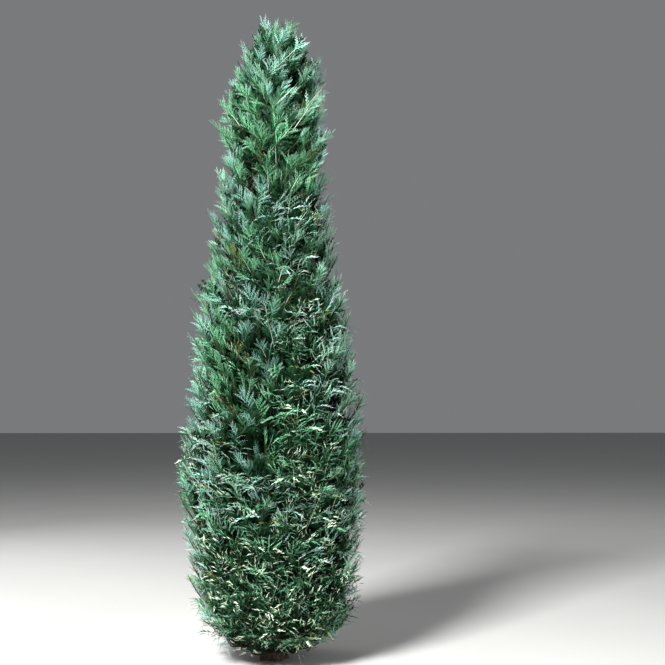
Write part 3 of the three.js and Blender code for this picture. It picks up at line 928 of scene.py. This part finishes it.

# Fronds
# The living green of the tree. Every plume has a leader frond, with feathers or fans from its sides,
# and broad near-black fronds of painted shade close the inside of each mass. Fronds of a colour are
# joined into pieces.

FROND_SEEDS = 5.3  # the same for the seeds of their fronds
LEADER_SHARE = 0.8  # of the plume's length
SIDE_FRONDS = 2
SIDES_FROM = 0.05  # side fronds start at this share of the axis, and stand along so much of it
SIDES_ALONG = 0.5
SIDE_LENGTH = 0.2
SIDE_LENGTH_LOSS = 0.3  # shares that a side frond would lose at the tip of the axis
SIDE_LEAN_LOSS = 0.4
SIDE_LENGTH_SWAY = 0.12
SIDE_LEAN = math.radians(30)
SIDE_HEADING = math.radians(75)
HEADING_SWAY = math.radians(40)
SIDE_INSET = 0.04  # the room that is left between a frond's tip and the crown's outline
INNER_POINT = 3  # the point of the twig that its dark frond of painted shade grows from
INNER_LENGTH = 0.29
INNER_LENGTH_SWAY = 0.2
INNER_LEAN = 0.6
INNER_INSET = 0.08
STEM_FRONDS = 10
STEM_LENGTH = 0.33
STEM_LEAN = 0.7
STEM_TURN = 2.4  # from each dark frond on a stem round to the next
STEM_INSET = 0.12
FANS = 6
FANS_FROM = 0.1
FANS_ALONG = 0.85
FAN_LENGTH = 0.14
FAN_LENGTH_SWAY = 0.2
FAN_MARGIN = 0.042
FAN_SLOPE = math.radians(20)
SLOPE_SWAY = math.radians(24)
FAN_HEADING = math.radians(65)
FAN_SWAY = math.radians(35)
LEGGY_SHARE = 0.14
# More plumes are leggy here, by shares
BARE_PLACES = (
    (2.75, -78, 0.45, 14, 0.5),
    (3.55, -85, 0.2, 25, 0.35),
    (1.95, -97, 0.3, 10, 0.8),
)
FROND_TRIES = 6
FROND_SHRINK = 0.93
FROND_RISE = 0.25
LEAST_FROND = 0.07
FACING_SHARE = 0.7  # of the flat fronds face outwards, and the rest stand edge on
FROND_SWAY = math.radians(26)
DEEP_BELOW = 2.6  # from here down more and more fronds are dark ones, painted shade, and some of them have pale rims of painted highlight
RIMMED_SHARE = 0.45
RIMMED_GAIN = 0.3
DEEP_SHARE = 0.12  # of the fronds above are dark too
OLIVE_SHARE = 0.025
TONE_SHARE = 0.65  # how far a plume's own tone settles those of its fronds
TONE_CONTRAST = 1.4
TONE_STEP = 0.25  # half of the range of levels in which fronds are blue
TOP_SHADE_ABOVE = 3.3  # from here up more fronds are dealt the darker green: painted shade that tones down the top, which the key lamp lights most
TOP_SHADE = 0.6
# More fronds are olive here, by shares
OLIVE_PATCHES = (
    (1.5, -125, 0.28, 9, 0.6),
    (2.57, -131, 0.1, 8, 0.5),
    (0.9, 60, 0.25, 10, 0.5),
    (2.9, 140, 0.2, 10, 0.5),
)
MOST_IN_PIECE = 400  # fronds, which keep a piece under 200,000 triangles
FOLIAGE_ROUGHNESS = 0.8
FROND_PARTS = ("Colour", "Old", "Young")
FOLIAGE = {
    # the record's slot, then the colours of the frond, of its darker root sprays, which are painted
    # shade, and of its young pinnae, which are paler partly from youth and partly as painted highlight
    "glaucous": ("foliage_glaucous", (0.185, 0.42, 0.275), (0.03, 0.115, 0.054), (0.27, 0.36, 0.315)),
    "blue": ("foliage_glaucous", (0.17, 0.39, 0.31), (0.028, 0.105, 0.057), (0.265, 0.35, 0.325)),
    "green": ("foliage_green", (0.098, 0.325, 0.162), (0.02, 0.085, 0.033), (0.2, 0.36, 0.25)),
    # dark fronds, dealt more towards the bottom and in the dark places: painted shade
    "deep": ("foliage_green", (0.018, 0.072, 0.032), (0.007, 0.032, 0.012), (0.09, 0.22, 0.13)),
    # dark fronds with very pale young pinnae: painted shade with a painted highlight on the rims
    "rimmed": ("foliage_green", (0.022, 0.088, 0.038), (0.007, 0.032, 0.012), (0.54, 0.64, 0.48)),
    # near-black fronds inside the crown and behind the fans: painted shade
    "shade": ("foliage_deep", (0.005, 0.022, 0.008), (0.003, 0.014, 0.005), (0.01, 0.038, 0.016)),
    "olive": ("foliage_green", (0.09, 0.12, 0.04), (0.03, 0.05, 0.018), (0.19, 0.25, 0.11)),
}


def frond_at(mass, root, grow_to, length, seed, kind, inset=SIDE_INSET):
    """A frond that fits in the crown, or None: each further try is shorter and steeper."""
    for _ in range(FROND_TRIES):
        tip = root + grow_to * length
        if within_crown(mass, tip, inset):
            outward = unit(root * (1, 1, 0) + (1e-6, 0, 0))
            return SimpleNamespace(
                mass=mass,
                root=root,
                grow=grow_to,
                length=length,
                outward=outward,
                seed=seed,
                kind=kind,
            )
        grow_to = unit(grow_to + UP * FROND_RISE)
        length *= FROND_SHRINK
        if length < LEAST_FROND:
            break
    return None


def leaning(direction, outward, heading, lean):
    """A direction that leans away from another, towards a heading that is measured from outwards."""
    tangent = np.cross(UP, outward)
    aside = outward * math.cos(heading) + tangent * math.sin(heading)
    aside = unit(aside - direction * np.dot(aside, direction))
    return direction * math.cos(lean) + aside * math.sin(lean)


def plume_fronds(plume, seed):
    """A leader, with fans or feathers from its sides, and a dark frond of painted shade on its twig.
    The leader of a plume with fans is such a frond too, unless it is leggy.
    """
    place = bezier(1 - LEADER_SHARE, *plume.axis)
    grow_to = unit(plume.axis[2] - place)
    azimuth = math.atan2(plume.outward[1], plume.outward[0])
    is_leggy = scatter(seed + 0.21) < LEGGY_SHARE + summed(BARE_PLACES, plume.root[2], azimuth)
    # a plume with fans has a near-black leader of painted shade behind them
    leader = "leggy" if is_leggy else "shade" if plume.has_fans else "flat"
    found = [frond_at(plume.mass, place, grow_to, LEADER_SHARE * plume.length, seed, leader, 0.0)]
    for number in range(FANS if plume.has_fans else 0):
        share = FANS_FROM + FANS_ALONG * (number + 0.5 * sway(seed + number + 0.6)) / (FANS - 1)
        heading = FAN_HEADING * sway(seed + number + 0.8)
        slope = FAN_SLOPE + SLOPE_SWAY * sway(seed + number + 0.35)
        direction = leaning(UP, plume.outward, heading, math.pi / 2 - slope)
        length = FAN_LENGTH * (1 + FAN_LENGTH_SWAY * sway(seed + number + 0.5))
        start = bezier(np.clip(share, 0, 1), *plume.axis)
        fan = frond_at(plume.mass, start, direction, length, seed + number + 0.3, "fan", FAN_MARGIN)
        found.append(fan)
    for number in range(0 if plume.has_fans else SIDE_FRONDS):
        share = SIDES_FROM + SIDES_ALONG * number / SIDE_FRONDS
        turned = (1 if number % 2 else -1) * SIDE_HEADING + HEADING_SWAY * sway(seed + number)
        lean = SIDE_LEAN * (1 - SIDE_LEAN_LOSS * share)
        direction = leaning(plume.grow, plume.outward, turned, lean)
        length = SIDE_LENGTH * plume.size * (1 - SIDE_LENGTH_LOSS * share)
        length *= 1 + SIDE_LENGTH_SWAY * sway(seed + number + 0.5)
        start = bezier(share, *plume.axis)
        found.append(frond_at(plume.mass, start, direction, length, seed + number + 0.3, "flat"))
    start = plume.twig[INNER_POINT]
    direction = leaning(UP, plume.outward, math.pi * sway(seed + 0.1), INNER_LEAN)
    length = INNER_LENGTH * (1 + INNER_LENGTH_SWAY * sway(seed + 0.2))
    found.append(frond_at(plume.mass, start, direction, length, seed + 0.7, "shade", INNER_INSET))
    found = [frond for frond in found if frond]
    for frond in found:
        frond.tone = plume.tone
    return found


def stem_fronds(mass):
    """Near-black fronds of painted shade all round the stem of a mass."""
    found = []
    for number in range(STEM_FRONDS):
        seed = mass.seed * 3 + number
        start = bezier((number + 0.5) / STEM_FRONDS, *stem_points(mass))
        direction = leaning(UP, mass.outward, STEM_TURN * number + sway(seed), STEM_LEAN)
        found.append(frond_at(mass, start, direction, STEM_LENGTH, seed, "shade", STEM_INSET))
    return [frond for frond in found if frond]


def mixed(tone, chance):
    return TONE_SHARE * tone + (1 - TONE_SHARE) * chance


def foliage_of(frond):
    """The colour of a frond, by its kind, its height, its plume's tone, the features and patches of the
    crown round it, and chance. Painted shade makes more fronds dark towards the bottom and in the dark
    places, and more of them the darker green at the top; some dark ones get pale rims of painted
    highlight."""
    if frond.kind == "shade":
        return "shade"
    chance = scatter(frond.seed + 0.9)
    x, y, z = frond.root + frond.grow * frond.length / 2
    azimuth = math.atan2(y, x)
    if chance > 1 - OLIVE_SHARE - summed(OLIVE_PATCHES, z, azimuth):
        return "olive"
    pale = summed(PALE_BANDS, z, azimuth)
    # painted shade: more fronds are dark towards the bottom and in the dark places, fewer in the pale
    # bands
    dark = DEEP_SHARE + (1 - DEEP_SHARE) * np.clip((DEEP_BELOW - z) / DEEP_BELOW, 0, 1)
    dark += summed(DARK_PLACES, z, azimuth) - pale
    if mixed(frond.tone, scatter(frond.seed + 0.61)) < dark:
        # some dark fronds get pale rims, a painted highlight, more of them where the painted shade is
        # deepest
        rimmed = RIMMED_SHARE * min(1, dark + RIMMED_GAIN)
        return "rimmed" if scatter(frond.seed + 0.47) < rimmed else "deep"
    patch = math.sin(4.1 * x + 2.3 * z + 1) * math.sin(3.7 * y - 1.9 * z)
    patch += 0.5 * math.sin(7 * z + 5 * x)
    level = (patch + TONE_CONTRAST * (mixed(scatter(frond.tone), chance) - 0.5)) * (1 - pale)
    # painted shade: fronds near the top are dealt the darker green more often
    level -= TOP_SHADE * np.clip(z - TOP_SHADE_ABOVE, 0, 1)
    return "glaucous" if level > TONE_STEP else "blue" if level > -TONE_STEP else "green"


def turned_frond(frond):
    """How a frond is turned: X along its growth, Y across it and Z away from the side it bends to."""
    is_edge_on = frond.kind == "flat" and scatter(frond.seed + 0.4) > FACING_SHARE
    across = frond.outward if is_edge_on else np.cross(UP, frond.outward)
    turned = (FAN_SWAY if frond.kind == "fan" else FROND_SWAY) * sway(frond.seed + 0.15)
    across = across * math.cos(turned) + np.cross(frond.grow, across) * math.sin(turned)
    across = unit(across - frond.grow * np.dot(across, frond.grow))
    face = np.cross(frond.grow, across)
    bends_outwards = face[2] < 0 if frond.kind == "fan" else np.dot(face, frond.outward) > 0
    if bends_outwards:
        across, face = -across, -face
    return Matrix(np.stack([frond.grow, across, face], axis=-1).tolist()).to_euler()


def shape_of(frond):
    """The place of a frond's shape in the collection, where the kinds stand in turn."""
    first = 0
    for name, kind in FROND_KINDS.items():
        if name == frond.kind:
            return first + int(kind.shapes * scatter(frond.seed + 0.33))
        first += kind.shapes


def points_mesh(name, fronds):
    """One point for each frond, with its turn, size and shape."""
    mesh = bpy.data.meshes.new(name)
    mesh.from_pydata([tuple(frond.root) for frond in fronds], [], [])
    turns = np.array([turned_frond(frond) for frond in fronds])
    keep(mesh, "turn", "FLOAT_VECTOR", turns.ravel())
    keep(mesh, "size", "FLOAT", [frond.length for frond in fronds])
    keep(mesh, "shape", "INT", [shape_of(frond) for frond in fronds])
    return mesh


def fronds_rule():
    """A frond, or its stalk, at every point, with colours for its own parts, for its darker root
    sprays, which are painted shade, and for its young pinnae, which are paler partly from youth and
    partly as painted highlight.
    """
    parts = dict.fromkeys(FROND_PARTS, "Material")
    wires = growth_rule("fronds on their twigs", {"Shapes": "Collection", **parts})
    start = wires["Geometry"]
    sockets = {"Collection": wires["Shapes"], "Separate Children": True, "Reset Children": True}
    shapes = start.node("GeometryNodeCollectionInfo", {}, sockets)
    sockets = {
        "Points": start,
        "Instance": shapes,
        "Pick Instance": True,
        "Instance Index": kept(start, "shape", "INT"),
        "Rotation": kept(start, "turn", "FLOAT_VECTOR"),
        "Scale": kept(start, "size", "FLOAT"),
    }
    placed = start.node("GeometryNodeInstanceOnPoints", {}, sockets)
    made = start.node("GeometryNodeRealizeInstances", {}, {"Geometry": placed})
    is_shaded_root = kept(start, "old", "BOOLEAN")
    is_young_and_highlit = kept(start, "young", "BOOLEAN") > is_shaded_root
    for part, selection in zip(FROND_PARTS, [True, is_shaded_root, is_young_and_highlit]):
        sockets = {"Geometry": made, "Selection": selection, "Material": wires[part]}
        made = start.node("GeometryNodeSetMaterial", {}, sockets)
    return end_rule(made)


def place_fronds(name, shapes, materials, chosen):
    """One piece of the shapes of some fronds, or of their stalks, for the masses that these are in."""
    piece = grow(name, placing, {"Shapes": shapes, **materials}, points_mesh(name, chosen))
    stand_for(piece, sorted({frond.mass.name for frond in chosen}))


fronds = []
for number, plume in enumerate(plumes):
    fronds += plume_fronds(plume, FROND_SEEDS * number)
for mass in masses:
    fronds += stem_fronds(mass)
fronds.sort(key=lambda frond: frond.root[2])
placing = fronds_rule()
for foliage, (slot, *colours) in FOLIAGE.items():
    materials = {}
    for part, colour in zip(FROND_PARTS, colours):
        materials[part] = plain_material(f"{foliage}_{part.lower()}", colour, FOLIAGE_ROUGHNESS)
    dealt = [frond for frond in fronds if foliage_of(frond) == foliage]
    pieces = math.ceil(len(dealt) / MOST_IN_PIECE)
    for number, share in enumerate(np.array_split(np.arange(len(dealt)), pieces)):
        chosen = [dealt[i] for i in share]
        place_fronds(f"fronds_{foliage}_{number + 1}", frond_collection, materials, chosen)
STALKS = {"green_stalks": (green_stalk, ["flat", "fan"]), "bare_stalks": (pale_stalk, ["leggy"])}
for name, (skin, kinds) in STALKS.items():
    chosen = [frond for frond in fronds if frond.kind in kinds]
    place_fronds(name, stalk_collection, dict.fromkeys(FROND_PARTS, skin), chosen)

# Floor
# A plain pale floor, far wider than the tree, of smooth matt plaster.

FLOOR_SIDE = 300
FLOOR_PALE = (0.42, 0.417, 0.405, 1)
FLOOR_GREY = (0.38, 0.377, 0.368, 1)


def floor_material():
    material, start = new_material("floor_plaster")
    place = start.node("ShaderNodeTexCoord", {}, {}, "Object")
    clouds = start.node("ShaderNodeTexNoise", {}, {"Vector": place, "Scale": 0.8, "Detail": 4.0})
    end_material(start, {"Base Color": blended(clouds, FLOOR_GREY, FLOOR_PALE), "Roughness": 0.9})
    return material


half = FLOOR_SIDE / 2
floor_mesh = bpy.data.meshes.new("floor")
floor_corners = [(-half, -half, 0), (half, -half, 0), (half, half, 0), (-half, half, 0)]
floor_mesh.from_pydata(floor_corners, [], [(0, 1, 2, 3)])
floor_mesh.materials.append(floor_material())
floor = in_the_scene("floor", floor_mesh)

# Light
# Plain soft studio light: a pale surround, a broad key from above on the left, a weaker fill on the
# right, and one from behind on the left that lights the rim of the crown.

SURROUND = (0.86, 0.89, 0.92, 1)
SURROUND_STRENGTH = 0.22
LIT_HEIGHT = 2.2  # all lamps are turned to the axis at this height


def soft_light(name, place, side, power):
    lamp = bpy.data.lights.new(name, "AREA")
    lamp.size = side
    lamp.energy = power
    made = in_the_scene(name, lamp)
    made.location = place
    towards = Vector((0, 0, LIT_HEIGHT)) - Vector(place)
    made.rotation_euler = towards.to_track_quat("-Z", "Y").to_euler()


world = bpy.data.worlds.new("surround")
bpy.context.scene.world = world
world.use_nodes = True
background = world.node_tree.nodes["Background"]
background.inputs["Color"].default_value = SURROUND
background.inputs["Strength"].default_value = SURROUND_STRENGTH
soft_light("key", (-4.5, -6.5, 8.5), 2.5, 4300)
soft_light("fill", (6.5, -4.0, 4.0), 5.0, 290)
soft_light("rim", (-5.5, 5.0, 4.5), 4.0, 250)

# Camera
# It stands at eye height about six and a half metres away, looks a little up, and has the tree left of
# the middle. It is zoomed out a little, so that the foot and the tip both show.

CAMERA_DISTANCE = 6.6
EYE_HEIGHT = 1.55
LOOKING_UP = math.radians(5.36)
LOOKING_RIGHT = math.radians(3.4)
PHOTO_LENS = 56.3
SENSOR_WIDTH = 36
ZOOM_OUT = 0.93

bpy.context.scene.view_settings.view_transform = "Standard"
camera_data = bpy.data.cameras.new("camera")
camera_data.lens = PHOTO_LENS * ZOOM_OUT
camera_data.sensor_width = SENSOR_WIDTH
camera = in_the_scene("camera", camera_data)
camera.location = (0, -CAMERA_DISTANCE, EYE_HEIGHT)
looking = Vector(
    (
        math.sin(LOOKING_RIGHT) * math.cos(LOOKING_UP),
        math.cos(LOOKING_RIGHT) * math.cos(LOOKING_UP),
        math.sin(LOOKING_UP),
    )
)
camera.rotation_euler = looking.to_track_quat("-Z", "Y").to_euler()
bpy.context.scene.camera = camera
